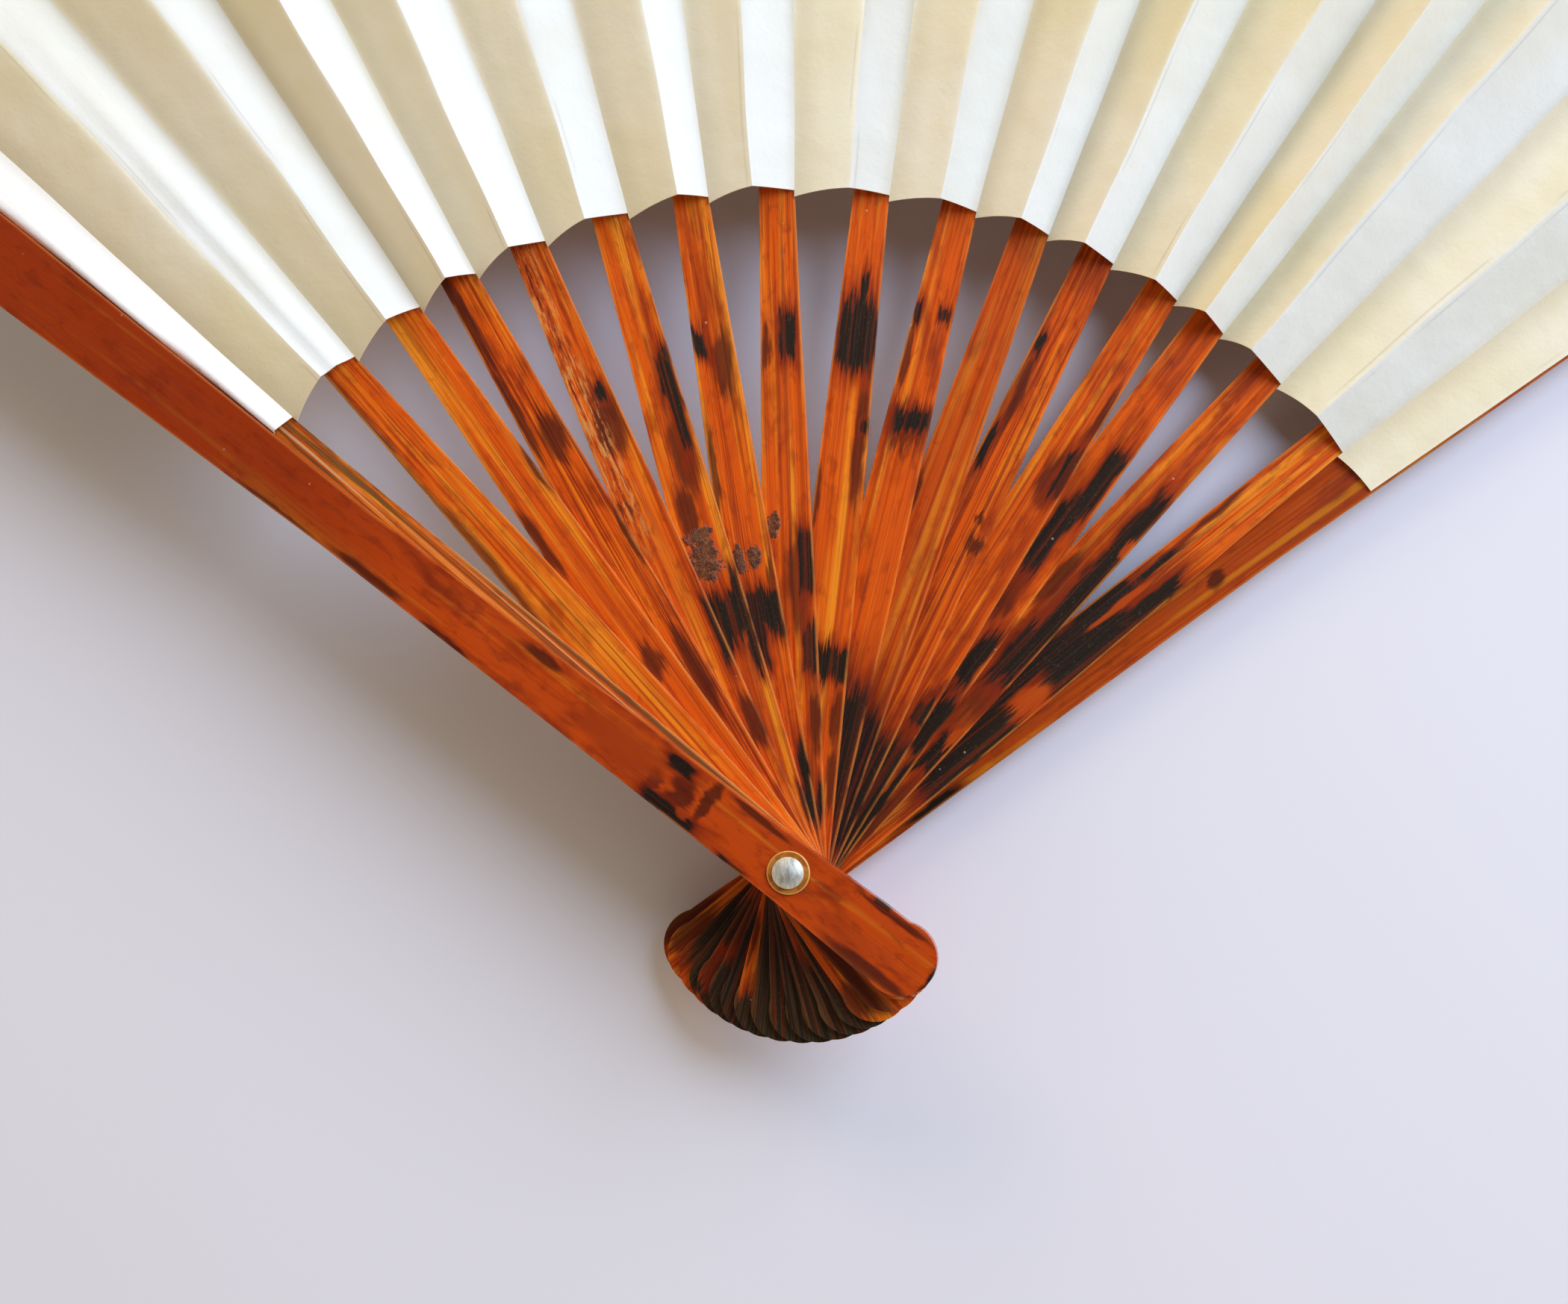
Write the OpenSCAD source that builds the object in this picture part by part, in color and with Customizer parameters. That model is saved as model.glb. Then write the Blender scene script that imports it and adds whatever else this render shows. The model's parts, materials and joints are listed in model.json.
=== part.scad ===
// Pleated folding fan, opened.
// Two guards and a row of flat sticks turn on one rivet and carry a pleated paper leaf.
// Units: millimetres. +Z up, +Y along the middle of the open fan, +X to its right.
// Origin: on the rivet's axis, at the flat underside of its rear head.
// The front guard lies on the left and on top, and each stick to its right is one layer lower.

/* [Leaf] */
// Radius of the leaf's outer edge
leaf_r = 275; // [230:5:300]
// Radius of the leaf's inner edge
leaf_in_r = 105; // [90:1:130]
// Thickness of the leaf, two papers pasted together
leaf_t = 0.3; // [0.2:0.05:0.5]
// Angle that one fold of the leaf takes when pressed flat, in degrees
fold_angle = 4.1; // [4.05:0.05:5]
// Angle from a stick's middle line to the valley fold on its right, in degrees
valley_angle = 1.56; // [1.5:0.01:2]

/* [Sticks] */
// Thickness of a stick at the handle
stick_t = 1; // [0.5:0.05:1]
// Thickness of the slip that runs up behind the leaf
slip_t = 0.5; // [0.3:0.05:0.5]
// Height from one stick to the next in the stack
pitch = 1.1; // [0.8:0.05:1.5]
// Radius of the sticks' tips behind the leaf
stick_r = 266; // [220:1:290]
// Distance from the rivet's axis to the end of a butt
butt_end = 26.6; // [20:0.2:35]
// Radius of a stick's rounded butt
stick_butt_r = 5.1; // [4:0.1:6]
// Play between neighbouring pieces of the stack
play = 0.1; // [0.05:0.01:0.2]

/* [Guards] */
// Thickness of a guard at the handle
guard_t = 2.6; // [1.5:0.1:4]
// Thickness of a guard at its tip
guard_tip_t = 1.8; // [1:0.1:3]
// Radius of a guard's tip
guard_r = 278; // [230:1:305]
// Radius of a guard's rounded butt
guard_butt_r = 5.6; // [4:0.1:7]

/* [Rivet] */
// Radius of the rivet's shank
shank_r = 1.25; // [0.8:0.05:2]
// Radial clearance of every bore on the shank
bore_gap = 0.05; // [0.02:0.01:0.1]
// Radius of the rivet's heads
head_r = 2.4; // [2:0.1:4]
// Height of a head
head_h = 1.2; // [0.6:0.1:2]
// Radius of the washers
washer_r = 3.3; // [3:0.05:5]
// Thickness of a washer
washer_t = 0.4; // [0.2:0.05:1]

/* [Hidden] */
// Turn from each blade to the next, from the front guard through the sticks to the rear guard
turns = [3, 7.4, 6.9, 5.5, 6.5, 7.3, 7, 7.3, 8, 7.5, 6.3, 5.9, 6.2, 4.7, 6.4, 7.7, 3.2];
// Turn from each stick's valley fold to the ridge fold on its left
ridge_turns = [2.8, 3.1, 2.6, 2.1, 2.7, 3.2, 2.3, 3.3, 3.3, 3.1, 2.2, 2.6, 2.3, 2.0, 3.7, 3.6];
sticks = len(turns) - 1;
spread = sum_to(turns, len(turns));

rear_washer_z = head_h + 0.02;
rear_guard_z = rear_washer_z + washer_t + 0.03;
rear_guard_top = rear_guard_z + guard_t;
front_guard_z = rear_guard_top + play + sticks * pitch;
front_washer_z = front_guard_z + guard_t + 0.05;
front_head_z = front_washer_z + washer_t + 0.02;

leaf_rest = 0.03;
fold_gap = 0.03;
bore_r = shank_r + bore_gap;
brown = [0.55, 0.24, 0.08];
orange = [0.75, 0.36, 0.1];
paper = [0.94, 0.88, 0.76];

// Half widths along a guard: [distance from the rivet, half width]
guard_side = [[-21, 5.2], [-14, 5.2], [-7, 4.95], [0, 4.75], [20, 4.6], [45, 4.45], [70, 4.33], [88, 4.3],
    [103, 4.62], [158, 5.8], [guard_r - 2, 8.4], [guard_r, 6.6]];
// Half widths along a stick
stick_side = [[-21.5, 4.8], [-14, 4.8], [-7, 4.7], [0, 4.5], [20, 4.35], [45, 4.05], [68, 3.55], [85, 3.12],
    [105, 2.8], [130, 2.5], [stick_r - 3, 1.9], [stick_r, 1]];

function sum_to(list, n) = n < 1 ? 0 : list[n - 1] + sum_to(list, n - 1);
function two_sides(side) = concat(side, [for (i = [len(side) - 1:-1:0]) [side[i][0], -side[i][1]]]);
function turned(n) = 90 + spread / 2 - sum_to(turns, n);
function stick_z(n) = rear_guard_top + play + (sticks - n) * pitch;
function two_digits(n) = n < 10 ? str("0", n) : str(n);
function stick_name(n) = str("stick_", two_digits(n));
function pleat_name(n) = str("leaf_pleat_", two_digits(n));

// Valley and ridge folds, each as [angle at the inner edge, height there, angle at the outer edge, height]
function valley_z(n) = stick_z(n) + slip_t + leaf_rest;
function valley_at(n) = turned(n) - valley_angle;
function valley(n, shift) = [valley_at(n) + shift, valley_z(n), valley_at(n) + shift, valley_z(n)];
function ridge_at(n) = valley_at(n) + ridge_turns[n - 1];
function ridge_slope(n) = sqrt(pow(fold_angle, 2) - pow(turns[n - 1] / 2, 2)) * PI / 180;
function ridge_z(n, r) = n == 1
    ? front_guard_z - leaf_t - leaf_rest
    : (valley_z(n) + valley_z(n - 1)) / 2 + ridge_slope(n) * r;
function ridge(n, shift) = [
    ridge_at(n) + shift, ridge_z(n, leaf_in_r),
    ridge_at(n) + shift, ridge_z(n, leaf_r)
];
function guard_half(r) = lookup(r, guard_side) - 0.4;
function guard_edge(at, side, z) = [
    at + side * asin(guard_half(leaf_in_r) / leaf_in_r), z,
    at + side * asin(guard_half(leaf_r) / leaf_r), z
];

// A flat blade with a rounded butt, its bore on the origin, lying along +X
module blade(side, butt_r, thickness, profile) {
    difference() {
        intersection() {
            union() {
                linear_extrude(thickness)
                    polygon(two_sides(side));
                translate([butt_r - butt_end, 0, 0])
                    cylinder(r = butt_r, h = thickness, $fn = 64);
            }
            rotate([90, 0, 0])
                linear_extrude(40, center = true)
                    polygon(profile);
        }
        translate([0, 0, -1])
            cylinder(r = bore_r, h = thickness + 2, $fn = 48);
    }
}

// One stick: full thickness at the handle, thinned to a slip from just below the leaf
module stick() {
    blade(stick_side, stick_butt_r, stick_t, [
        [-40, 0],
        [stick_r + 10, 0],
        [stick_r + 10, slip_t],
        [leaf_in_r - 1, slip_t],
        [leaf_in_r - 25, stick_t],
        [-40, stick_t]
    ]);
}

// One guard: thinner towards the tip, on the face away from the sticks
module guard() {
    blade(guard_side, guard_butt_r, guard_t, [
        [-40, 0],
        [guard_r + 10, 0],
        [guard_r + 10, guard_tip_t],
        [88, guard_t],
        [-40, guard_t]
    ]);
}

module front_guard() {
    color(brown)
        rotate([0, 0, turned(0)])
            translate([0, 0, front_guard_z])
                guard();
}

module rear_guard() {
    color(brown)
        rotate([0, 0, turned(sticks + 1)])
            translate([0, 0, rear_guard_top])
                rotate([180, 0, 0])
                    guard();
}

module placed_stick(n) {
    color(orange)
        rotate([0, 0, turned(n)])
            translate([0, 0, stick_z(n)])
                stick();
}

// A washer with its bore on the shank and a rounded rim
module washer() {
    rotate_extrude($fn = 72)
        polygon([
            [bore_r, 0],
            [washer_r - 0.08, 0],
            [washer_r, 0.08],
            [washer_r, washer_t - 0.16],
            [washer_r - 0.16, washer_t],
            [bore_r, washer_t]
        ]);
}

module front_washer() {
    color([0.78, 0.5, 0.18])
        translate([0, 0, front_washer_z])
            washer();
}

module rear_washer() {
    color([0.78, 0.5, 0.18])
        translate([0, 0, rear_washer_z])
            washer();
}

// Shank with a flat rear head and a low domed front head
module rivet() {
    dome = (pow(head_r, 2) + pow(head_h - 0.5, 2)) / (2 * (head_h - 0.5));
    color([0.72, 0.71, 0.67]) {
        union() {
            cylinder(r = head_r, h = head_h, $fn = 72);
            cylinder(r = shank_r, h = front_head_z + 0.3, $fn = 48);
            translate([0, 0, front_head_z]) {
                intersection() {
                    cylinder(r = head_r, h = head_h + 1, $fn = 72);
                    translate([0, 0, head_h - dome])
                        sphere(r = dome, $fn = 96);
                    cylinder(r = head_r, h = head_h, $fn = 72);
                }
            }
        }
    }
}

// A strip of the leaf between its two edges, creased along the given folds, listed from right to left
module sheet(folds) {
    n = len(folds);
    inner = [for (f = folds) [leaf_in_r * cos(f[0]), leaf_in_r * sin(f[0]), f[1]]];
    outer = [for (f = folds) [leaf_r * cos(f[2]), leaf_r * sin(f[2]), f[3]]];
    up = [0, 0, leaf_t];
    points = concat(inner, [for (p = inner) p + up], outer, [for (p = outer) p + up]);
    top = [for (i = [0:n - 2]) each [
        [n + i, n + i + 1, 3 * n + i + 1],
        [n + i, 3 * n + i + 1, 3 * n + i]
    ]];
    bottom = [for (i = [0:n - 2]) each [
        [i, 2 * n + i, 2 * n + i + 1],
        [i, 2 * n + i + 1, i + 1]
    ]];
    inner_edge = [for (i = [0:n - 2]) [i + 1, n + i + 1, n + i, i]];
    outer_edge = [for (i = [0:n - 2]) [2 * n + i, 3 * n + i, 3 * n + i + 1, 2 * n + i + 1]];
    ends = [
        [0, n, 3 * n, 2 * n],
        [3 * n - 1, 4 * n - 1, 2 * n - 1, n - 1]
    ];
    color(paper)
        polyhedron(points, concat(top, bottom, inner_edge, outer_edge, ends));
}

// The two folds that one stick carries: down to its valley and up to the next ridge
module pleat(n) {
    right = n < sticks ? [ridge(n + 1, fold_gap)] : [];
    first = n < sticks ? 0 : fold_gap;
    sheet(concat(right, [valley(n, first)], [ridge(n, -fold_gap)]));
}

// The end of the leaf pasted under the front guard
module leaf_end_front() {
    sheet([
        ridge(1, fold_gap),
        guard_edge(turned(0), 1, ridge_z(1, leaf_r))
    ]);
}

// The end of the leaf pasted on the rear guard
module leaf_end_rear() {
    sheet([
        guard_edge(turned(sticks + 1), -1, rear_guard_top + leaf_rest),
        valley(sticks, -fold_gap)
    ]);
}

rear_guard();
front_guard();
rivet();
front_washer();
rear_washer();
leaf_end_front();
leaf_end_rear();
for (n = [1:sticks]) {
    placed_stick(n);
    pleat(n);
}
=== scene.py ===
import json
import math
import random

import bmesh
import bpy
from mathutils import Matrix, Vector


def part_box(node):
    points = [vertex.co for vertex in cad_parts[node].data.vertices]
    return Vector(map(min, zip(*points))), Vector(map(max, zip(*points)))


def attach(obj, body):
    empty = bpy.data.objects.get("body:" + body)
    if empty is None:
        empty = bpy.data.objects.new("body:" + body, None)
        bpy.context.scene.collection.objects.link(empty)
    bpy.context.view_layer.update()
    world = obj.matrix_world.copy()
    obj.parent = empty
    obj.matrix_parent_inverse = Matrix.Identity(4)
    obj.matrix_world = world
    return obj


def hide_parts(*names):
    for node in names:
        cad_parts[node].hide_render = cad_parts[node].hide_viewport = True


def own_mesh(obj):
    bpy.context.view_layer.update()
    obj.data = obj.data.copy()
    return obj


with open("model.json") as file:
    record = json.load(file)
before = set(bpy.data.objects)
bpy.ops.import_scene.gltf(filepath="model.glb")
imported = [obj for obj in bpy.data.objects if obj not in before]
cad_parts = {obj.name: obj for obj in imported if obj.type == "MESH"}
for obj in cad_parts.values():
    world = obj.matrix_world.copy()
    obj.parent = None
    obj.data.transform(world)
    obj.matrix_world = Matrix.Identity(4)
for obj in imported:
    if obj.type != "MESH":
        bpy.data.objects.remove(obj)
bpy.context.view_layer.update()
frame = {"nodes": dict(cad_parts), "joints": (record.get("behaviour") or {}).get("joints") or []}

MM = 0.001
CAD = frame["nodes"]

# ---------------------------------------------------------------- the fan's own measures, in mm and degrees
STICKS = 16
RIDGE_TURNS = [2.8, 3.1, 2.6, 2.1, 2.7, 3.2, 2.3, 3.3, 3.3, 3.1, 2.2, 2.6, 2.3, 2.0, 3.7, 3.6]
LEAF_R, LEAF_IN_R, LEAF_T = 275.0, 105.0, 0.3
FOLD_ANGLE, VALLEY_ANGLE = 4.1, 1.56
SLIP_T, LEAF_REST = 0.5, 0.03
GUARD_SIDE = [(88, 4.3), (103, 4.62), (158, 5.8), (276, 8.4), (278, 6.6)]

SWING = {j["child"]: -j["range_deg"][0] for j in frame["joints"]}
SPREAD = SWING["front_guard"]
SWING["rear_guard"] = 0.0
BLADES = ["front_guard"] + ["stick_%02d" % n for n in range(1, STICKS + 1)] + ["rear_guard"]
ANGLE = [90 - SPREAD / 2 + SWING[b] for b in BLADES]
REAR_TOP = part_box("rear_guard")[1][2] / MM
STICK_Z = [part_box(b)[0][2] / MM for b in BLADES]
FRONT_Z = STICK_Z[0]


def stick_z(n):
    return STICK_Z[n]


def valley_z(n):
    return stick_z(n) + SLIP_T + LEAF_REST + LEAF_T / 2


def valley_at(n):
    return ANGLE[n] - VALLEY_ANGLE


def ridge_at(n):
    return valley_at(n) + RIDGE_TURNS[n - 1]


def ridge_z(n, r):
    if n == 1:
        return FRONT_Z - LEAF_T / 2 - LEAF_REST
    half = (ANGLE[n - 1] - ANGLE[n]) / 2
    slope = math.radians(math.sqrt(FOLD_ANGLE ** 2 - half ** 2))
    return (valley_z(n) + valley_z(n - 1)) / 2 + slope * r


def guard_edge(at, side, r):
    half = GUARD_SIDE[-1][1]
    for (r0, h0), (r1, h1) in zip(GUARD_SIDE, GUARD_SIDE[1:]):
        if r0 <= r <= r1:
            half = h0 + (h1 - h0) * (r - r0) / (r1 - r0)
    return at + side * math.degrees(math.asin((half - 0.4) / r))


# ---------------------------------------------------------------- materials
class Tree:
    """Short names for making shader nodes."""

    def __init__(self, name):
        self.material = bpy.data.materials.new(name)
        self.material.use_nodes = True
        self.nodes = self.material.node_tree.nodes
        self.links = self.material.node_tree.links
        self.shader = self.nodes["Principled BSDF"]

    def put(self, socket, value):
        if isinstance(value, bpy.types.NodeSocket):
            self.links.new(value, socket)
        else:
            socket.default_value = value

    def node(self, kind, inputs=(), **settings):
        made = self.nodes.new(kind)
        for key, value in settings.items():
            setattr(made, key, value)
        for key, value in dict(inputs).items():
            self.put(made.inputs[key], value)
        return made

    def math(self, operation, a, b=0.0, c=0.0, clamp=False):
        made = self.node("ShaderNodeMath", {0: a, 1: b, 2: c}, operation=operation, use_clamp=clamp)
        return made.outputs[0]

    def vector(self, operation, a, b=(0, 0, 0), c=(0, 0, 0)):
        made = self.nodes.new("ShaderNodeVectorMath")
        made.operation = operation
        for socket, value in zip(made.inputs, (a, b, c)):
            self.put(socket, value)
        return made.outputs["Value"] if operation == "LENGTH" else made.outputs[0]

    def noise(self, vector, scale, detail=3.0, roughness=0.5, distortion=0.0):
        return self.node(
            "ShaderNodeTexNoise",
            {"Vector": vector, "Scale": scale, "Detail": detail, "Roughness": roughness,
            "Distortion": distortion},
        )

    def step(self, value, low, high, to_low=0.0, to_high=1.0):
        made = self.node(
            "ShaderNodeMapRange",
            {"Value": value, "From Min": low, "From Max": high, "To Min": to_low, "To Max": to_high},
            interpolation_type="SMOOTHSTEP",
        )
        return made.outputs[0]

    def mix(self, factor, a, b):
        made = self.nodes.new("ShaderNodeMix")
        made.data_type = "RGBA"
        self.put(made.inputs[0], factor)
        for socket, value in ((made.inputs[6], a), (made.inputs[7], b)):
            self.put(socket, value if isinstance(value, bpy.types.NodeSocket) else (*value, 1.0))
        return made.outputs[2]

    def bump(self, height, distance, strength=1.0, normal=None):
        inputs = {"Height": height, "Distance": distance, "Strength": strength}
        if normal is not None:
            inputs["Normal"] = normal
        return self.node("ShaderNodeBump", inputs).outputs[0]


# The lacquer's colours, from light to dark, and bare worn bamboo.
AMBER = (0.90, 0.26, 0.012)
ORANGE = (0.73, 0.095, 0.002)
RUSSET = (0.26, 0.022, 0.002)
WINE = (0.065, 0.009, 0.003)
SOOT = (0.011, 0.010, 0.006)
WORN = (0.88, 0.27, 0.035)


def nearest(t, place, jitter, spots, blocky=False):
    """Smallest distance from place to a spot, 1 at its edge.

    Each spot is (u, v, half length, half width) in mm."""
    near = 9.0
    for u, v, half_u, half_v in spots:
        half_u, half_v = half_u * 1.12, half_v * 1.15
        offset = t.vector("MULTIPLY_ADD", place, (1 / half_u, 1 / half_v, 0), (-u / half_u, -v / half_v, 0))
        shake = t.vector("MULTIPLY", jitter, (1 / (half_u + 1.0), 1 / (half_v + 0.8), 0))
        away = t.vector("ADD", offset, shake)
        if blocky:
            sides = t.node("ShaderNodeSeparateXYZ", {0: t.vector("ABSOLUTE", away)})
            size = t.math("MAXIMUM", sides.outputs[0], sides.outputs[1])
        else:
            size = t.vector("LENGTH", away)
        near = t.math("MINIMUM", size, near)
    return near


def lacquer(name, angle, seed, guard, black=(), brown=(), light=(), crust=(),
            amber=0.5, red=0.45, lines=0.5, rough_edge=0.0, grooves=0.0, peel=0.0, far=0.0,
                tint=(1.0, 1.0, 1.0)):
    """Tortoiseshell lacquer over bamboo, laid out along the blade: u from the rivet, v across, in mm."""
    t = Tree(name)
    spin = t.node(
        "ShaderNodeVectorRotate",
        {"Vector": t.node("ShaderNodeTexCoord").outputs["Object"], "Axis": (0, 0, 1),
        "Angle": -math.radians(angle)},
    )
    place = t.vector("SCALE", spin.outputs[0])
    place.node.inputs["Scale"].default_value = 1000.0
    parts = t.node("ShaderNodeSeparateXYZ", {0: place})
    along, across = parts.outputs[0], parts.outputs[1]
    shift = (seed * 17.3, seed * 5.1, seed * 9.7)

    def noise(stretch, detail=3.0, roughness=0.5, distortion=0.0):
        return t.noise(t.vector("MULTIPLY_ADD", place, stretch, shift), 1.0, detail, roughness, distortion)

    fibre = noise((0.05, 4.2, 4.2), 4.0, 0.6).outputs[0]
    vein = noise((0.010, 1.7, 1.7), 3.0, 0.55).outputs[0]
    band = noise((0.020, 0.55, 0.4), 2.0).outputs[0]
    cloud = noise((0.075, 0.20, 0.2), 3.0, 0.6, 0.4).outputs[0]
    blotch = noise((0.26, 0.62, 0.5), 3.0, 0.6, 0.5).outputs[0]
    warp = noise((0.16, 0.42, 0.3), 2.0, 0.5).outputs[1]
    flame = noise((0.14, 2.6, 1.5), 3.0, 0.7).outputs[0]

    colour = t.mix(t.step(band, 0.66 - 0.34 * amber, 0.86 - 0.34 * amber), ORANGE, AMBER)
    colour = t.mix(t.math("MULTIPLY", t.step(cloud, 0.74 - 0.34 * (1 - red), 0.44 - 0.34 * (1 - red)), 0.8),
        colour, RUSSET)
    colour = t.mix(t.math("MULTIPLY", t.step(blotch, 0.50, 0.72), 0.25 + 0.55 * red), colour, RUSSET)
    colour = t.mix(t.math("MULTIPLY", t.step(vein, 0.52, 0.60), lines), colour, RUSSET)
    colour = t.mix(t.math("MULTIPLY", t.step(vein, 0.43, 0.35), 0.6 * lines), colour, AMBER)
    colour = t.mix(t.math("MULTIPLY", t.step(fibre, 0.50, 0.66), 0.65 * lines + 0.08), colour, WINE)
    if far:
        outer = t.math("MULTIPLY", t.step(t.math("MULTIPLY_ADD", cloud, 30.0, along), 75, 120), far)
        colour = t.mix(outer, colour, RUSSET)
    if rough_edge:
        side = t.math("ADD", across, t.math("MULTIPLY", t.math("SUBTRACT", cloud, 0.5), 4.0))
        edge = t.math("MULTIPLY", t.step(side, 1.6, 3.0), rough_edge)
        colour = t.mix(edge, colour, WINE)
        scuffs = t.math("MULTIPLY", t.step(fibre, 0.60, 0.66), edge)
        colour = t.mix(t.math("MULTIPLY", scuffs, 0.5), colour, (0.55, 0.25, 0.20))
    if grooves:
        ribs = noise((0.006, 1.25, 1.25), 2.0, 0.6).outputs[0]
        colour = t.mix(t.math("MULTIPLY", t.step(ribs, 0.50, 0.60), grooves), colour, (0.13, 0.040, 0.010))
        colour = t.mix(t.math("MULTIPLY", t.step(ribs, 0.46, 0.36), grooves), colour, (0.66, 0.30, 0.09))

    swirl = t.vector("MULTIPLY", t.vector("SUBTRACT", warp, (0.5, 0.5, 0.5)), (6.5, 3.2, 0))
    lick = t.node("ShaderNodeCombineXYZ",
        {0: t.math("MULTIPLY", t.math("SUBTRACT", flame, 0.5), 2.5 if guard else 11.0)}).outputs[0]
    jitter = t.vector("ADD", swirl, lick)
    height = fibre
    if brown:
        near = nearest(t, place, jitter, brown)
        colour = t.mix(t.math("MULTIPLY", t.step(near, 1.25, 0.6), 0.82), colour, WINE)
    if black:
        near = nearest(t, place, jitter, black, blocky=True)
        colour = t.mix(t.math("MULTIPLY", t.step(near, 2.1, 1.0), 0.85), colour, RUSSET)
        core = t.step(near, 1.25, 0.80)
        veil = t.math("SUBTRACT", 0.97, t.math("MULTIPLY", t.step(vein, 0.53, 0.62), 0.30))
        colour = t.mix(t.math("MULTIPLY", core, veil), colour, SOOT)
        dust = t.noise(place, 2.3, 3.0, 0.6).outputs[0]
        colour = t.mix(t.math("MULTIPLY", t.math("MULTIPLY", core, t.step(dust, 0.56, 0.74)), 0.16), colour,
            (0.17, 0.16, 0.08))
        sheen = t.math("MULTIPLY", t.step(along, -12, -22), t.step(fibre, 0.44, 0.60))
        colour = t.mix(t.math("MULTIPLY", t.math("MULTIPLY", core, sheen), 0.30), colour, (0.10, 0.075, 0.018))
    if light:
        near = nearest(t, place, jitter, light)
        colour = t.mix(t.math("MULTIPLY", t.step(near, 1.2, 0.6), 0.85), colour, (0.50, 0.062, 0.003))
    if peel:
        rough = noise((0.22, 1.5, 1.2), 4.0, 0.7).outputs[0]
        zone = t.math("MULTIPLY", t.step(across, -1.6, 1.2), t.step(along, 48, 62))
        flakes = t.math("MULTIPLY", t.step(rough, 0.52, 0.60), zone)
        colour = t.mix(t.math("MULTIPLY", flakes, 0.8 * peel), colour, (0.70, 0.30, 0.07))
        pits = t.math("MULTIPLY", t.step(rough, 0.46, 0.38), zone)
        colour = t.mix(t.math("MULTIPLY", pits, 0.8 * peel), colour, WINE)
        height = t.math("ADD", height, t.math("MULTIPLY", t.math("MULTIPLY", rough, zone), 3.0 * peel))
    if guard:
        half = t.math("MAXIMUM", t.math("MULTIPLY_ADD", along, -0.006, 4.75),
            t.math("MULTIPLY_ADD", along, 0.0217, 2.39))
    else:
        narrow = t.math("MINIMUM", t.math("MULTIPLY_ADD", along, -0.010, 4.5),
            t.math("MULTIPLY_ADD", along, -0.0229, 5.08))
        half = t.math("MAXIMUM", narrow, 1.9)
    rim = t.math("SUBTRACT", half, t.math("ABSOLUTE", across))
    wear = t.math("MULTIPLY", t.step(rim, 0.40, 0.10), t.step(cloud, 0.36, 0.56))
    wear = t.math("MULTIPLY", wear, t.step(along, -6, 8, 0.08, 0.45))
    colour = t.mix(wear, colour, WORN)
    fleck = t.node("ShaderNodeTexVoronoi", {"Vector": place, "Scale": 0.42, "Randomness": 1.0})
    chosen = t.math("GREATER_THAN", t.node("ShaderNodeSeparateColor", {0: fleck.outputs["Color"]}).outputs[0],
        0.93)
    dot = t.math("MULTIPLY", t.step(fleck.outputs["Distance"], 0.10, 0.05), chosen)
    colour = t.mix(t.math("MULTIPLY", dot, 0.55), colour, (0.60, 0.42, 0.32))
    if tint != (1.0, 1.0, 1.0):
        colour = t.vector("MULTIPLY", colour, tint)
    if crust:
        near = nearest(t, place, swirl, crust)
        lump = t.noise(place, 1.0, 4.0, 0.7).outputs[0]
        grit = t.noise(place, 3.4, 3.0, 0.6).outputs[0]
        scab = t.math("MULTIPLY", t.step(t.math("MULTIPLY_ADD", lump, -1.6, near), 0.35, 0.0), 0.9)
        earth = t.mix(t.step(lump, 0.42, 0.62), (0.13, 0.052, 0.018), (0.030, 0.013, 0.006))
        colour = t.mix(scab, colour,
            t.mix(t.math("MULTIPLY", t.step(grit, 0.56, 0.68), 0.6), earth, (0.36, 0.20, 0.09)))
        height = t.math("ADD", height, t.math("MULTIPLY", t.math("MULTIPLY", lump, scab), 8.0))
    t.put(t.shader.inputs["Base Color"], colour)
    t.put(t.shader.inputs["Roughness"], t.step(fibre, 0.3, 0.7, 0.30, 0.48))
    t.put(t.shader.inputs["Normal"], t.bump(height, 0.00008, 0.35 if guard else 0.6))
    t.shader.inputs["Specular IOR Level"].default_value = 0.3
    t.shader.inputs["Coat Weight"].default_value = 0.4 if guard else 0.25
    t.shader.inputs["Coat Roughness"].default_value = 0.10
    return t.material


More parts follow.
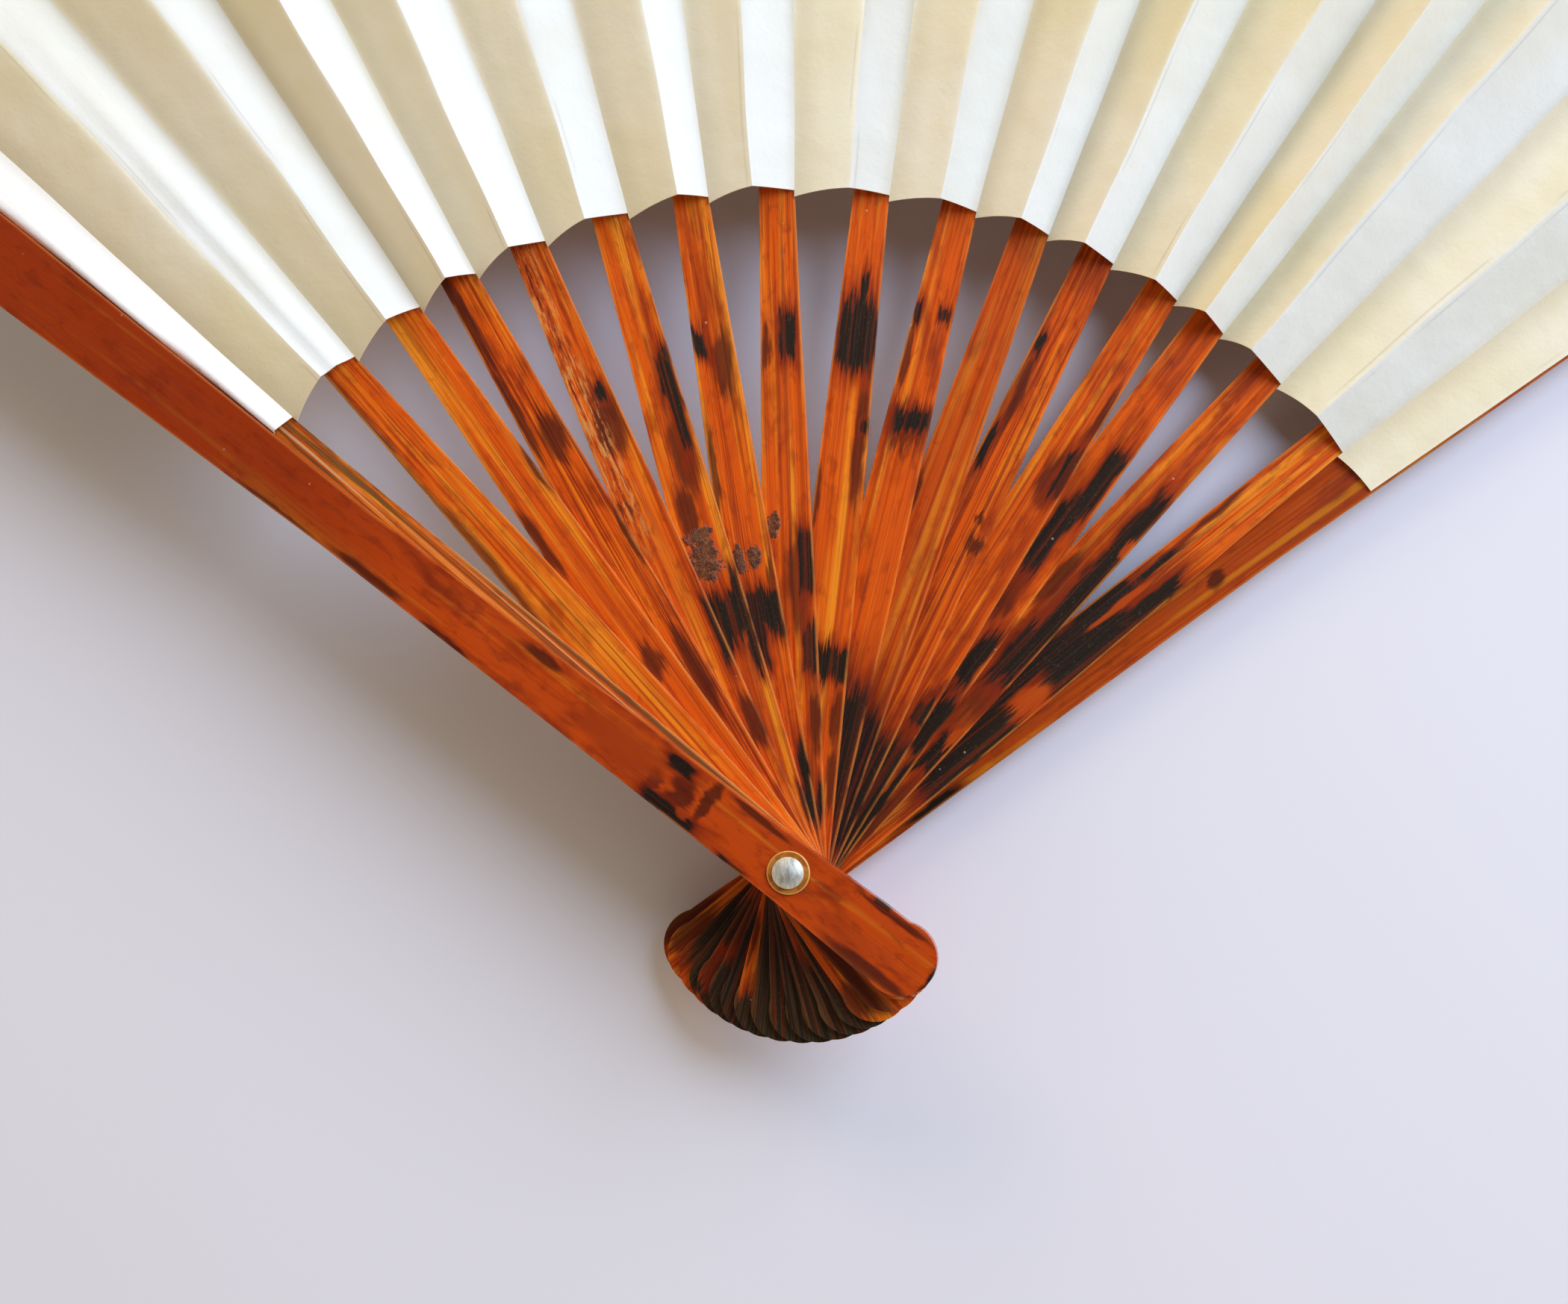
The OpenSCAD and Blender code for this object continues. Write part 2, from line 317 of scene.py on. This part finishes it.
def paper(name, light, deep, seed, dip=0.020, dark=0.20):
    """Aged cream paper: soft grain, mottling, brown specks, patches of thin dark score lines beside the
    ridges, painted shade in the valleys and a painted highlight along the ridges.

    The UV map holds the distance from the valley and from the ridge, in decimetres.
    dip is how far the painted valley shade spreads, and dark how strong it is."""
    t = Tree(name)
    place = t.node("ShaderNodeTexCoord").outputs["Object"]
    shift = (seed * 0.37, seed * 0.71, seed * 0.13)
    moved = t.vector("ADD", place, shift)
    mottle = t.noise(moved, 26.0, 3.0, 0.55).outputs[0]
    grain = t.noise(moved, 1100.0, 3.0, 0.6).outputs[0]
    pulp = t.noise(moved, 210.0, 4.0, 0.6).outputs[0]
    colour = t.mix(t.step(mottle, 0.35, 0.68), light, deep)
    colour = t.mix(t.math("MULTIPLY", t.step(pulp, 0.52, 0.74), 0.30), colour, deep)
    parts = t.node("ShaderNodeSeparateXYZ", {0: t.node("ShaderNodeUVMap", uv_map="fold").outputs[0]})
    from_valley, from_ridge = parts.outputs[0], parts.outputs[1]
    patchy = t.step(t.noise(moved, 34.0, 2.0).outputs[0], 0.55, 0.64)
    # Painted shade: the paper darkens towards each valley, where the fold's shade falls.
    valley_painted_shade = t.math("MULTIPLY", t.step(from_valley, dip, 0.0), dark)
    colour = t.mix(valley_painted_shade, colour, (0.52, 0.40, 0.22))
    score = t.math("MULTIPLY",
        t.step(t.math("ABSOLUTE", t.math("SUBTRACT", from_ridge, 0.008)), 0.0026, 0.0008), 0.24)
    colour = t.mix(t.math("MULTIPLY", score, patchy), colour, (0.40, 0.32, 0.22))
    # Painted highlight: the paper is lighter along each ridge, where the fold catches the light.
    ridge_painted_highlight = t.math("MULTIPLY", t.step(from_ridge, 0.0060, 0.001), 0.15)
    colour = t.mix(ridge_painted_highlight, colour, (0.93, 0.91, 0.86))
    speck = t.node("ShaderNodeTexVoronoi", {"Vector": moved, "Scale": 36.0, "Randomness": 1.0})
    chosen = t.math("GREATER_THAN", t.node("ShaderNodeSeparateColor", {0: speck.outputs["Color"]}).outputs[0],
        0.9)
    stain = t.math("MULTIPLY", t.step(speck.outputs["Distance"], 0.13, 0.02), chosen)
    colour = t.mix(t.math("MULTIPLY", stain, 0.42), colour, (0.60, 0.36, 0.16))
    t.put(t.shader.inputs["Base Color"], colour)
    t.put(t.shader.inputs["Roughness"], t.step(pulp, 0.3, 0.7, 0.62, 0.80))
    t.shader.inputs["Specular IOR Level"].default_value = 0.3
    soft = t.bump(t.noise(moved, 75.0, 2.0, 0.5).outputs[0], 0.0016, 0.40)
    t.put(t.shader.inputs["Normal"], t.bump(grain, 0.00008, 0.5, t.bump(pulp, 0.0003, 0.35, soft)))
    return t.material


def rivet_metal():
    t = Tree("rivet_worn_steel")
    place = t.node("ShaderNodeTexCoord").outputs["Object"]
    brushed = t.noise(t.vector("MULTIPLY", place, (1900, 500, 500)), 1.0, 4.0, 0.65, 0.6).outputs[0]
    worn = t.noise(place, 620.0, 4.0, 0.65).outputs[0]
    colour = t.mix(t.step(brushed, 0.36, 0.64), (0.46, 0.45, 0.38), (0.68, 0.67, 0.60))
    colour = t.mix(t.math("MULTIPLY", t.step(worn, 0.52, 0.72), 0.6), colour, (0.30, 0.29, 0.22))
    t.put(t.shader.inputs["Base Color"], colour)
    t.shader.inputs["Metallic"].default_value = 0.55
    t.put(t.shader.inputs["Roughness"], t.step(brushed, 0.3, 0.7, 0.38, 0.6))
    t.put(t.shader.inputs["Normal"], t.bump(worn, 0.00012, 0.6, t.bump(brushed, 0.00006, 0.6)))
    return t.material


def washer_amber():
    t = Tree("washer_clear_amber")
    place = t.node("ShaderNodeTexCoord").outputs["Object"]
    flat = t.vector("MULTIPLY", place, (1, 1, 0))
    swirl = t.noise(place, 520.0, 3.0, 0.5, 0.6).outputs[0]
    body = t.mix(t.step(swirl, 0.35, 0.65), (0.36, 0.10, 0.010), (0.55, 0.20, 0.028))
    # Painted highlight: a golden ring, lighter than the amber body, around the washer's rim, where its edge
    # catches the light.
    rim = t.step(t.vector("LENGTH", flat), 0.00300, 0.00335)
    t.put(t.shader.inputs["Base Color"], t.mix(t.math("MULTIPLY", rim, 0.75), body, (0.85, 0.52, 0.13)))
    t.put(t.shader.inputs["Roughness"], t.step(swirl, 0.3, 0.7, 0.08, 0.2))
    t.put(t.shader.inputs["Normal"], t.bump(swirl, 0.00005, 0.4))
    t.shader.inputs["Coat Weight"].default_value = 0.7
    t.shader.inputs["Coat Roughness"].default_value = 0.05
    return t.material


# ---------------------------------------------------------------- sticks, guards and rivet: the CAD nodes
# Spots as (u, v, half length, half width): black soot, soft brown, light orange windows, glue crust.
LOOKS = {
    0: dict(
        amber=0.30, red=0.42, lines=0.12, far=0.6, tint=(0.70, 0.58, 0.6),
        black=[
            (20, 3.9, 4.2, 1.0), (7.5, 4.6, 2, 0.4), (22.5, -2.7, 2.4, 0.8), (-26.6, 0, 0.4, 3.4),
            (-14, -5.0, 1.2, 0.4),
        ],
        brown=[
            (16, -1, 1.1, 3.4), (20.5, 0.6, 2.2, 3.2), (25, 1.5, 1.2, 2.0), (50, -3.0, 4, 0.8),
            # The brown spot at (-18, 4.2) is painted shade along the lower-left edge of the guard's butt, the
            # side away from the light.
            (64, 4.3, 5, 0.7), (79, 3.8, 6, 1.0), (96, 4.6, 9, 0.8), (-18, 4.2, 8, 0.9),
            (-17, -4.4, 6, 0.6), (8, -3.8, 5, 0.5),
        ],
        light=[(18.3, 2.6, 1.2, 0.9), (32, 0, 8, 2.6)],
    ),
    1: dict(amber=0.5, red=0.30, lines=0.6, grooves=0.85, tint=(1.05, 1.40, 1.9)),
    2: dict(amber=0.6, red=0.22, lines=0.6, rough_edge=0.8, brown=[(-16, 4.2, 9, 1.6)]),
    3: dict(
        amber=0.62, red=0.15, lines=0.45,
        brown=[(39, -1, 3, 1.4), (63, 3, 6, 1), (74, -3.2, 5, 0.5), (-22, 3.5, 4, 2)],
    ),
    4: dict(
        amber=0.2, red=0.50, lines=0.9,
        black=[(-15, 3.8, 12, 1.8)],
        brown=[
            (77, -1, 4, 1.8), (34, -2.2, 8, 1.2), (57, -3.4, 5, 0.7), (100, 2.2, 9, 0.9), (82, 2.2, 8, 0.7),
        ],
    ),
    5: dict(
        amber=0.4, red=0.45, lines=0.6, peel=1.0,
        black=[(-20, 3.2, 7, 1.6), (38, -3.7, 4.5, 0.6), (79.8, -1.5, 1.2, 0.7)],
        brown=[(23.5, -3.4, 4, 1.3), (74, 0.6, 4, 1.0), (76, -1, 6, 2.2)],
    ),
    6: dict(
        amber=0.55, red=0.38, lines=0.5,
        crust=[(49.8, 0.4, 3.2, 2.1), (53.6, 0.2, 1.2, 2.0)],
        black=[
            (40, -0.6, 3.4, 4.0), (34.5, -3.6, 3, 0.7), (45, -3.3, 2.5, 0.6), (72, -1.9, 5, 0.7),
            (78.5, -1.9, 3.6, 1.2), (10, -4.3, 2.5, 0.4), (-14, 3.8, 12, 1.6),
        ],
        brown=[(66, -0.8, 6, 1.8), (58, 1.2, 4, 1.6)],
    ),
    7: dict(
        amber=0.55, red=0.40, lines=0.6,
        crust=[(49, 1.2, 2.2, 0.8), (48.6, -1, 1.5, 0.9)],
        black=[
            (39.6, -1.4, 2.9, 4.0), (34.4, 0.2, 2.6, 1.0), (12, -4.0, 6, 0.8), (82.5, 2.2, 2.0, 0.9),
            (-14, 3.6, 14, 2.2),
        ],
        brown=[(79, -0.9, 5, 1.9), (45, -3.4, 3, 0.6), (63, 3, 7, 0.6)],
    ),
    8: dict(
        amber=0.45, red=0.42, lines=0.5,
        crust=[(53.2, 1.9, 1.4, 1.1)],
        black=[
            (33.5, -3.1, 3.0, 1.0), (47.5, -2.8, 3.8, 1.0), (82.4, -1.0, 3.2, 1.1), (10.5, -4.0, 2.4, 0.6),
            (-14, 3.6, 14, 2.2),
        ],
        brown=[(22, -3.6, 5, 1.0), (44, -1.4, 7, 2.0), (80, 2.4, 3, 0.9)],
    ),
    9: dict(
        amber=0.55, red=0.35, lines=0.35,
        black=[
            (32, -2.2, 2.3, 2.8), (83, -0.2, 4.6, 2.7), (88.5, -0.6, 3.5, 0.4), (69, -2.9, 0.9, 0.5),
            (-14, 3.5, 14, 2.2),
        ],
        brown=[(15, -3.8, 5, 0.8), (57, 3.5, 6, 0.6), (66, -2.4, 10, 0.9), (24, -3.4, 4, 1.0)],
    ),
    10: dict(
        amber=0.40, red=0.45, lines=0.4,
        black=[
            (20, -2.8, 8.5, 2.6), (6, -4, 7, 1.4), (71.3, -0.6, 1.6, 2.2), (87.4, 2.5, 1.6, 0.4),
            (88.6, -1.9, 1.0, 0.7), (-24, 1, 3, 6),
        ],
        brown=[(70.5, -0.2, 4.2, 3.4), (80, 2.6, 5, 0.6), (-12, 4.4, 4, 0.5)],
    ),
    11: dict(
        amber=0.62, red=0.25, lines=0.45, tint=(0.78, 0.72, 0.95),
        black=[(15, -3.2, 10, 1.9), (-18, 3.2, 9, 1.8)],
        brown=[(60, 3, 5, 0.6), (-10, 4, 8, 1)],
    ),
    12: dict(
        amber=0.25, red=0.52, lines=0.7, rough_edge=0.55,
        black=[(14, -3.6, 9, 1.7), (71.5, 2.5, 2.4, 0.5), (89, 1.9, 1.4, 0.5), (-23, 2, 4, 3)],
        brown=[(56.8, -2.3, 1.3, 1.5), (60.5, -1.3, 0.9, 0.6), (-12, 4, 9, 1.2), (80, 1.6, 8, 0.9)],
    ),
    13: dict(
        amber=0.35, red=0.50, lines=0.5,
        black=[(13, -3.6, 11, 1.8), (30.6, -3.2, 1.8, 1.0), (73.6, -2.2, 3.2, 0.9), (-12, 4.2, 4, 1.0)],
        brown=[(31, -3, 4, 1.5), (83, -2.3, 5, 0.9), (72, -1, 5, 1.8), (-20, 3, 5, 2)],
    ),
    14: dict(
        amber=0.35, red=0.45, lines=0.4,
        black=[
            (14, -4.2, 9, 1.0), (30.5, -2.8, 4.2, 1.1), (42, -2.3, 4.2, 1.2), (64.5, 0.0, 5.6, 1.4),
            (75.5, -1.3, 5.4, 1.2), (-18, 3.6, 8, 1.4),
        ],
        brown=[(36, -2.4, 5, 1.6), (54, 0, 5, 2.0)],
    ),
    15: dict(
        amber=0.20, red=0.62, lines=0.4,
        black=[
            (47, -1.6, 5, 1.6), (62, -2.6, 11, 1.3), (72, -2.0, 7, 1.4), (27, -2.9, 3.4, 1.2),
            (-14, 4.0, 8, 0.8),
        ],
        brown=[(50, -2, 18, 2.6), (60, 1.5, 6, 1.2), (16, -3.6, 8, 1.2)],
        light=[(70.8, -3.0, 1.6, 0.7), (30.6, -3.3, 1.8, 0.8)],
    ),
    16: dict(
        amber=0.60, red=0.30, lines=0.6,
        black=[
            (31, -1.6, 8, 3.2), (44, 1.6, 5, 1.2), (56, -0.4, 7.4, 3.2), (68.5, -2.3, 4.6, 1.1),
            (62, 2.3, 5, 0.9), (72.5, 1.8, 4, 0.4),
        ],
        brown=[(24, -3.0, 5, 1.8), (84, 2.4, 6, 0.6), (-20, 3.4, 5, 1.6), (60, 1, 14, 3)],
        light=[(43.3, -2.0, 3.0, 2.0), (65, 0.6, 7, 0.5)],
    ),
    17: dict(
        amber=0.55, red=0.25, lines=0.35, tint=(0.62, 0.60, 0.42),
        brown=[(78, -1.5, 1.4, 1.2), (-20, 4, 6, 2)],
        black=[(22, -4.3, 4, 0.7)],
    ),
}


WELD_GAP = 1e-6
BEVEL_ANGLE = math.radians(35)
GUARD_BEVEL, STICK_BEVEL, RIVET_BEVEL, WASHER_BEVEL = 0.5 * MM, 0.16 * MM, 0.1 * MM, 0.04 * MM


def finish_node(name, material, bevel):
    """Gives a CAD node its material and slightly rounded edges."""
    obj = CAD[name]
    obj.data.materials.clear()
    obj.data.materials.append(material)
    weld = obj.modifiers.new("weld", "WELD")
    weld.merge_threshold = WELD_GAP
    soft = obj.modifiers.new("soft_edges", "BEVEL")
    soft.width = bevel
    soft.segments = 3
    soft.limit_method = "ANGLE"
    soft.angle_limit = BEVEL_ANGLE
    soft.harden_normals = True


SOOTY_BUTTS, BUTT_SPOT = range(4, 14), (-26, 1, 1.8, 4.6)
for n, blade in enumerate(BLADES):
    if n in SOOTY_BUTTS:
        LOOKS[n]["black"] = LOOKS[n].get("black", []) + [BUTT_SPOT]
    material = lacquer("lacquer_" + blade, ANGLE[n], n + 1, "guard" in blade, **LOOKS[n])
    finish_node(blade, material, GUARD_BEVEL if "guard" in blade else STICK_BEVEL)
metal, amber = rivet_metal(), washer_amber()
finish_node("rivet", metal, RIVET_BEVEL)
finish_node("front_washer", amber, WASHER_BEVEL)
finish_node("rear_washer", amber, WASHER_BEVEL)

# ---------------------------------------------------------------- the leaf
# The paper's aged cream, warmed further as painted shade for the shade strips and the rear end sheet, with a
# wide painted shade in each valley.
PAPER_AGED_PAINTED_SHADE = paper("leaf_paper_aged_painted_shade", (0.90, 0.81, 0.60), (0.86, 0.745, 0.465), 3, 0.052, 0.36)
# Painted light: a cooler, whiter copy of the same paper for the lit strips, standing in for the cool light
# that falls on them.
PAPER_PAINTED_LIT = paper("leaf_paper_painted_lit", (0.79, 0.775, 0.70), (0.755, 0.725, 0.61), 5)
# Painted light: a near-white copy of the same paper, for the first lit strip and the front end sheet beside
# the front guard, standing in for the strong light on them.
PAPER_PAINTED_LIT_WHITE = paper("leaf_paper_painted_lit_white", (0.97, 0.94, 0.87), (0.95, 0.91, 0.81), 8)
ACROSS = [0, 0.02, 0.045, 0.08, 0.14, 0.24, 0.36, 0.5, 0.64, 0.76, 0.86, 0.92, 0.955, 0.98, 1]
ALONG = 44
# A fold is rounded over FOLD_SOFT mm by up to FOLD_LIFT mm, and less where the leaf starts.
FOLD_SOFT, FOLD_LIFT = 0.9, 0.48
rng = random.Random(11)


def facet(name, body, first, last, inner=(LEAF_IN_R, LEAF_IN_R), soften=(1, -1), bulge=0.0, crumple=0.0,
    puff=0.0, wave=1.0,
          seed=0, sheet=PAPER_AGED_PAINTED_SHADE):
    """A strip of leaf between two folds.

    first and last give (angle, height) at a radius. soften rounds a valley (+1) or ridge (-1)."""
    dice = random.Random(seed)
    phase = [dice.uniform(0, 6.28) for _ in range(4)]
    rows = []
    for j in range(ALONG + 1):
        t = j / ALONG
        row = []
        for s in ACROSS:
            start = inner[0] + (inner[1] - inner[0]) * (1 - (1 - s) ** 2)
            r = start + (LEAF_R - start) * t
            a0, z0 = first(r)
            a1, z1 = last(r)
            p0 = Vector((r * math.cos(math.radians(a0)), r * math.sin(math.radians(a0)), z0))
            p1 = Vector((r * math.cos(math.radians(a1)), r * math.sin(math.radians(a1)), z1))
            width = (p1 - p0).length
            p = p0.lerp(p1, s)
            round_off = FOLD_LIFT * min(1.0, max(0.12, (r - 103) / 35))
            lift = soften[0] * round_off * math.exp(-s * width / FOLD_SOFT)
            lift += soften[1] * round_off * math.exp(-(1 - s) * width / FOLD_SOFT)
            wide = math.sin(math.pi * s)
            lift += bulge * wide * (0.4 + 0.6 * t) * width / 12
            ripple = 0.10 * math.sin(2.1 * math.pi * t + phase[0]) + 0.05 * math.sin(9 * t + phase[1])
            lift += wave * wide * ripple
            if puff:
                a_edge = guard_edge(ANGLE[0], -1, r) - math.degrees(0.75 / r)
                edge = (a_edge - a0) / (a1 - a0)
                lift += puff * (s / edge if s < edge else max(0.0, 1 - (s - edge) / 0.06))
            if crumple:
                mid = 0.45 + 0.12 * math.sin(2.2 * t + phase[2])
                dent = math.exp(-((s - mid) * width / 1.6) ** 2) * (0.5 + 0.5 * math.sin(7 * t + phase[3]))
                lift += crumple * wide * dent
            row.append((p + Vector((0, 0, lift)), s, width))
        rows.append(row)
    verts, faces, across, along = [], [], [], []
    wide = len(ACROSS)
    for sign in (1, -1):
        for row in rows:
            for p, s, width in row:
                verts.append((p + Vector((0, 0, sign * LEAF_T / 2))) * MM)
                across.append(s * width / 100)
                along.append((1 - s) * width / 100)
    half = wide * (ALONG + 1)
    for j in range(ALONG):
        for i in range(wide - 1):
            a = j * wide + i
            quad = (a, a + wide, a + wide + 1, a + 1)
            faces.append(quad)
            faces.append(tuple(half + k for k in reversed(quad)))
    rim = [i for i in range(wide)] + [j * wide + wide - 1 for j in range(1, ALONG + 1)]
    rim += [ALONG * wide + i for i in range(wide - 2, -1, -1)] + [j * wide for j in range(ALONG - 1, 0, -1)]
    for a, b in zip(rim, rim[1:] + rim[:1]):
        faces.append((a, b, half + b, half + a))
    mesh = bpy.data.meshes.new(name)
    mesh.from_pydata(verts, [], faces)
    layer = mesh.uv_layers.new(name="fold")
    for loop in mesh.loops:
        layer.data[loop.index].uv = (across[loop.vertex_index], along[loop.vertex_index])
    mesh.materials.append(sheet)
    for polygon in mesh.polygons:
        polygon.use_smooth = len(polygon.vertices) == 4 and abs(polygon.normal.z) > 0.15
    obj = bpy.data.objects.new(name, mesh)
    bpy.context.scene.collection.objects.link(obj)
    bm = bmesh.new()
    bm.from_mesh(mesh)
    bmesh.ops.recalc_face_normals(bm, faces=bm.faces)
    for edge in bm.edges:
        edge.smooth = all(face.smooth for face in edge.link_faces)
    bm.to_mesh(mesh)
    bm.free()
    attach(obj, body)
    return obj


def waver(n, r, size):
    """A hand-made fold's sideways wander, as an angle in degrees."""
    return math.degrees(size * (math.sin(r / 11 + 2.3 * n) + 0.6 * math.sin(r / 4.3 + 5.1 * n)) / r)


def valley(n):
    return lambda r: (valley_at(n) + waver(n, r, 0.06), valley_z(n))


def ridge(n):
    return lambda r: (ridge_at(n) + (waver(n + 40, r, 0.16) if n > 1 else 0), ridge_z(n, r))


for n in range(1, STICKS + 1):
    body, joint = BLADES[n], BLADES[n] + "_swing"
    a_side = facet(
        "leaf_%02d_lit" % n, body, valley(n), ridge(n), (LEAF_IN_R, LEAF_IN_R + 0.3),
        (1, -1) if n > 1 else (0, 0), rng.uniform(-1.1, 0.7) if n > 1 else 0.0, 1.2 if n == 2 else 0.0,
        1.9 if n == 1 else 0.0, seed=n,
        sheet=PAPER_PAINTED_LIT if n > 1 else PAPER_PAINTED_LIT_WHITE,
    )
    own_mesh(a_side)
    pieces = [a_side]
    if n < STICKS:
        b_side = facet(
            "leaf_%02d_shade" % n, body, valley(n), ridge(n + 1), (LEAF_IN_R - 1.0, LEAF_IN_R + 0.3),
            (1 if n > 1 else 0, -1), rng.uniform(-0.9, 0.3) if n > 1 else 0.0,
            wave=1.0 if n > 1 else 0.0, seed=40 + n,
        )
        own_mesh(b_side)
        pieces.append(b_side)
    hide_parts("leaf_pleat_%02d" % n)
end_front = facet(
    "leaf_end_front_sheet", "front_guard", ridge(1), lambda r: (guard_edge(ANGLE[0], 1, r), ridge_z(1, r)),
    soften=(0, 0), seed=90,
    sheet=PAPER_PAINTED_LIT_WHITE,
)
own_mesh(end_front)
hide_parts("leaf_end_front")
end_rear = facet(
    "leaf_end_rear_sheet", "rear_guard", valley(STICKS),
    lambda r: (guard_edge(ANGLE[-1], -1, r), REAR_TOP + LEAF_REST + LEAF_T / 2),
    (LEAF_IN_R - 1.0, LEAF_IN_R), soften=(1, 0), bulge=0.5, seed=91,
)
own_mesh(end_rear)
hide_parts("leaf_end_rear")

# ---------------------------------------------------------------- floor, lights, camera
FLOOR_HALF, FLOOR_Z = 4, -0.0002
corners = [(x * FLOOR_HALF, y * FLOOR_HALF, FLOOR_Z) for x, y in ((-1, -1), (1, -1), (1, 1), (-1, 1))]
floor_mesh = bpy.data.meshes.new("floor")
floor_mesh.from_pydata(corners, [], [(0, 1, 2, 3)])
floor = bpy.data.objects.new("floor", floor_mesh)
bpy.context.scene.collection.objects.link(floor)
t = Tree("floor_paper")
t.shader.inputs["Base Color"].default_value = (0.80, 0.77, 0.79, 1)
t.shader.inputs["Roughness"].default_value = 0.85
floor_mesh.materials.append(t.material)


AIM = (0.03, 0.06, 0)


def area_light(name, place, size, energy, colour):
    """A round soft light that points at the fan."""
    data = bpy.data.lights.new(name, "AREA")
    data.shape, data.size, data.energy, data.color = "DISK", size, energy, colour
    light = bpy.data.objects.new(name, data)
    light.location = place
    light.rotation_euler = (Vector(AIM) - Vector(place)).to_track_quat("-Z", "Y").to_euler()
    bpy.context.scene.collection.objects.link(light)


area_light("window", (0.84, 0.62, 0.75), 1.0, 21.5, (0.58, 0.73, 1.0))
area_light("room", (-0.52, 1.15, 0.65), 0.9, 5, (1.0, 0.80, 0.52))
# The room's warm light comes from around the horizon and fades overhead.
world = bpy.data.worlds.new("studio")
world.use_nodes = True
nodes, links = world.node_tree.nodes, world.node_tree.links
height = nodes.new("ShaderNodeSeparateXYZ")
links.new(nodes.new("ShaderNodeTexCoord").outputs["Generated"], height.inputs[0])
ring = nodes.new("ShaderNodeMapRange")
ring.interpolation_type = "SMOOTHSTEP"
for socket, value in (("From Min", 0.45), ("From Max", 0.8), ("To Min", 0.98), ("To Max", 0.05)):
    ring.inputs[socket].default_value = value
links.new(height.outputs[2], ring.inputs["Value"])
links.new(ring.outputs[0], nodes["Background"].inputs[1])
nodes["Background"].inputs[0].default_value = (1.0, 0.86, 0.69, 1)
bpy.context.scene.world = world
bpy.context.scene.view_settings.view_transform = "Standard"

# Fitted to the blades, the rivet and the leaf's inner edge in the photograph.
camera = bpy.data.objects.new("camera", bpy.data.cameras.new("camera"))
camera.data.sensor_width = 36
camera.data.lens = 65.36
camera.location = (0.05654, 0.02084, 0.44852)
camera.rotation_euler = [math.radians(x) for x in (1.737, 7.719, 0.691)]
camera.data.clip_start = 0.01
bpy.context.scene.collection.objects.link(camera)
bpy.context.scene.camera = camera
